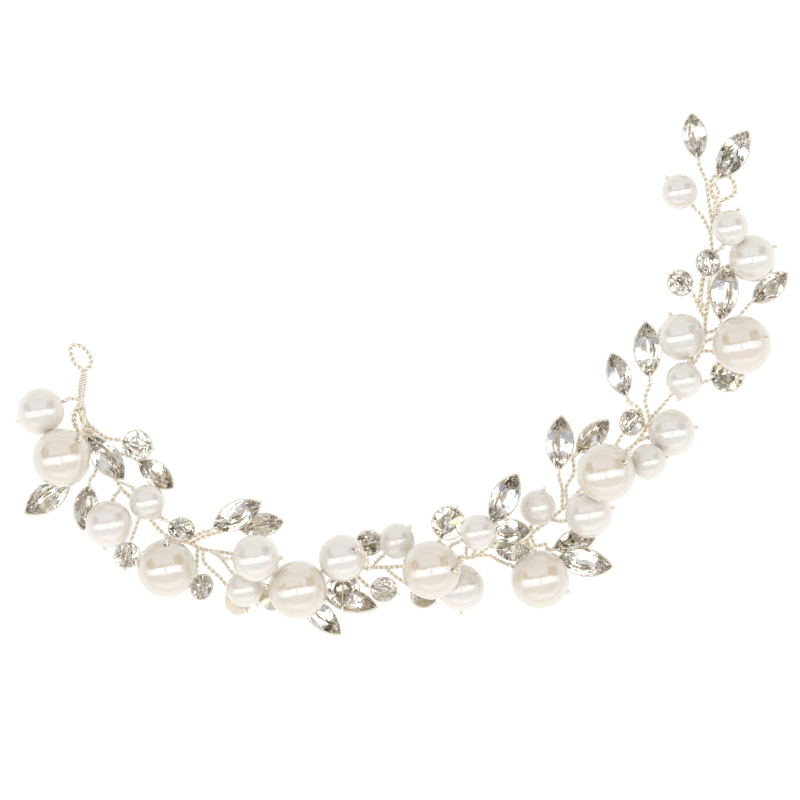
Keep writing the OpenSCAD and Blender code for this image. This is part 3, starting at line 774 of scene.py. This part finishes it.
def build_vine():
    """Dresses every node of the frame."""
    randomness = random.Random(SEED)
    names = sorted(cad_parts)
    stem = centre_line(*solids_of("stem")[0])
    twigs = {node: [centre_line(*solid) for solid in solids_of(node)]
             for node in names if node.startswith("twigs")}
    pearls = [np.array(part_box(node)).mean(axis=0) for node in names if node.startswith("pearl")]
    beside_pearl = 6 * MM
    thinner = 0.8

    def off_pearl(end, before):
        """How far the nearest pearl's middle is from the straight line at the end of a twig."""
        return min((off_line(c, end, before) for c in pearls if np.linalg.norm(c - end) < beside_pearl),
                   default=math.inf)

    def root_first(line):
        """A twig's line with its root first: its other end is thin, or goes straight through a pearl."""
        if line[0, 3] < thinner * line[-1, 3]:
            return line[::-1]
        if line[-1, 3] < thinner * line[0, 3]:
            return line
        if off_pearl(line[0, :3], line[1, :3]) < off_pearl(line[-1, :3], line[-2, :3]):
            return line[::-1]
        return line

    for node in twigs:
        twigs[node] = [root_first(line) for line in twigs[node]]
    bead_ends = [(line[-2, :3], line[-1, :3]) for lines in twigs.values() for line in lines]
    for node in names:
        if node in twigs:
            twisted_wire(node, twigs[node], randomness)
        elif node.startswith("pearl"):
            drilled_pearl(node, bead_ends)
        elif node.startswith("navette") or node in ("small_navettes", "round_crystals"):
            cut_crystals(node, bead_ends)
        else:
            lines = [centre_line(*solid) for solid in solids_of(node)]
            if node.endswith("loop"):
                lines = [joined_to(stem, line) for line in lines]
            elif node == "side_strands":
                lines = [lashed_to(stem, line) * (1, 1, 1, SIDE_SWELL) for line in lines]
            twisted_wire(node, lines, randomness)


# The studio

def table_top():
    """A plain white table that glows softly, so that the vine throws no hard shadow."""
    half = 6.0
    corners = [(-half, -half, 0), (half, -half, 0), (half, half, 0), (-half, half, 0)]
    mesh = bpy.data.meshes.new("white_table")
    mesh.from_pydata(corners, [], [(0, 1, 2, 3)])
    material, tree, output = new_material("white_table_top")
    matt = add_node(tree, "ShaderNodeBsdfPrincipled", {
        "Base Color": from_hex("#5a5a5a"), "Roughness": 0.9, "Specular IOR Level": 0.1,
        "Emission Color": from_hex("#ffffff"), "Emission Strength": 0.95})
    tree.links.new(matt.outputs["BSDF"], output.inputs["Surface"])
    mesh.materials.append(material)
    top = bpy.data.objects.new("white_table", mesh)
    bpy.context.scene.collection.objects.link(top)


def hang(tree, spot, below, thing):
    """Paints one thing of the room over what is already there, soft at its edges."""
    _, across_at, up_at, half_across, half_up, turn, edge, square, colour, glow = thing
    middle = (across_at, up_at, 0.0)
    extent = (half_across, half_up, 1.0)
    moved = add_node(tree, "ShaderNodeVectorMath", {0: spot, 1: middle}, operation="SUBTRACT")
    level = add_node(tree, "ShaderNodeVectorRotate", {
        "Vector": moved.outputs["Vector"], "Axis": (0.0, 0.0, 1.0), "Angle": math.radians(-turn)})
    sized = add_node(tree, "ShaderNodeVectorMath", {0: level.outputs["Vector"], 1: extent},
                     operation="DIVIDE")
    size = add_node(tree, "ShaderNodeVectorMath", {0: sized.outputs["Vector"]}, operation="ABSOLUTE")
    parts = add_node(tree, "ShaderNodeSeparateXYZ", {"Vector": size.outputs["Vector"]})
    powers = [add_node(tree, "ShaderNodeMath", {0: parts.outputs[axis], 1: square}, operation="POWER")
              for axis in ("X", "Y")]
    total = add_node(tree, "ShaderNodeMath", {0: powers[0].outputs["Value"], 1: powers[1].outputs["Value"]},
                     operation="ADD")
    reach = add_node(tree, "ShaderNodeMath", {0: total.outputs["Value"], 1: 1 / square}, operation="POWER")
    cover = add_node(tree, "ShaderNodeMapRange", {
        "Value": reach.outputs["Value"], "From Min": 1 + edge, "From Max": 1 - edge},
        interpolation_type="SMOOTHSTEP")
    bright = tuple(c * glow for c in from_hex(colour)[:3]) + (1.0,)
    mixed = add_node(tree, "ShaderNodeMix", {"Factor": cover.outputs["Result"], "A": below, "B": bright},
                     data_type="RGBA", clamp_result=False)
    return mixed.outputs["Result"]


# What hangs in the room, lowest layer first. Each place is where a shiny ball under the camera
# mirrors the thing, counted from the ball's middle to its edge: across, up, half the width,
# half the height, degrees of turn, softness of the edge, 2 for round and 4 for square, colour, glow
ROOM = [
    ("walls", 0.0, 0.0, 0.67, 0.67, 0, 0.02, 2, "#f4f5fa", 1.14),
    ("far_wall", 0.0, 1.0, 0.9, 0.42, 0, 0.5, 2, "#ebe6dc", 1.5),
    ("low_window", 0.10, -0.36, 0.54, 0.32, 10, 0.05, 2, "#fffefc", 1.26),
    ("grey_bench", -0.03, -0.24, 0.62, 0.25, 4, 0.08, 2, "#cbd3e2", 0.9),
    ("coving", -0.08, 0.30, 0.48, 0.31, 4, 0.04, 2, "#a8987c", 0.8),
    ("ceiling", -0.08, 0.30, 0.455, 0.285, 4, 0.04, 2, "#dfe3ea", 1.1),
    ("camera_arm", -0.12, 0.07, 0.36, 0.05, 10, 0.6, 2, "#5a4a30", 0.6),
    ("left_beam", -0.57, 0.17, 0.13, 0.17, 25, 0.10, 4, "#3a2a10", 0.3),
    ("right_beam", 0.42, 0.29, 0.15, 0.20, 10, 0.08, 4, "#3a2a10", 0.3),
    ("strip_light", -0.02, -0.065, 0.60, 0.118, 10, 0.34, 4, "#fffdfb", 2.35),
    ("light_stand", 0.0, -0.065, 0.035, 0.14, 10, 0.9, 2, "#e8e8e8", 1.3),
]


def studio_room():
    """A pale room with a long soft strip light over the table. Each thing's place is worked out from the
    direction half-way between straight up and the way to it, as a shiny ball on the table mirrors it."""
    world = bpy.data.worlds.new("pale_room")
    bpy.context.scene.world = world
    world.use_nodes = True
    tree = world.node_tree
    tree.nodes.clear()
    output = tree.nodes.new("ShaderNodeOutputWorld")
    toward = add_node(tree, "ShaderNodeTexCoord").outputs["Generated"]
    between = add_node(tree, "ShaderNodeVectorMath", {0: toward, 1: (0.0, 0.0, 1.0)}, operation="ADD")
    facing = add_node(tree, "ShaderNodeVectorMath", {0: between.outputs["Vector"]}, operation="NORMALIZE")
    spot = add_node(tree, "ShaderNodeVectorMath", {0: facing.outputs["Vector"], 1: (1.0, 1.0, 0.0)},
                    operation="MULTIPLY").outputs["Vector"]
    colour = add_node(tree, "ShaderNodeRGB").outputs["Color"]
    colour.default_value = from_hex("#e0d7c7")
    for thing in ROOM:
        colour = hang(tree, spot, colour, thing)
    glow = add_node(tree, "ShaderNodeBackground", {"Color": colour, "Strength": 1.0})
    tree.links.new(glow.outputs["Background"], output.inputs["Surface"])


def camera():
    """Straight above, far off with a long lens, so that high pearls aren't pushed outwards."""
    data = bpy.data.cameras.new("camera")
    data.lens = 600
    data.sensor_width = 36
    data.dof.use_dof = False
    distance = PHOTO_WIDTH * data.lens / data.sensor_width
    data.clip_start = distance * 0.5
    data.clip_end = distance * 4
    eye = bpy.data.objects.new("camera", data)
    eye.location = (*PHOTO_MIDDLE, BEAD_HEIGHT + distance)
    bpy.context.scene.collection.objects.link(eye)
    bpy.context.scene.camera = eye


def studio():
    """The table, the room's light and the camera, with bounces enough for light to leave the crystals."""
    table_top()
    studio_room()
    camera()
    bpy.context.scene.cycles.glossy_bounces = 12
    bpy.context.scene.cycles.max_bounces = 16
    view = bpy.context.scene.view_settings
    view.view_transform = "Standard"
    view.look = "None"


build_vine()
studio()
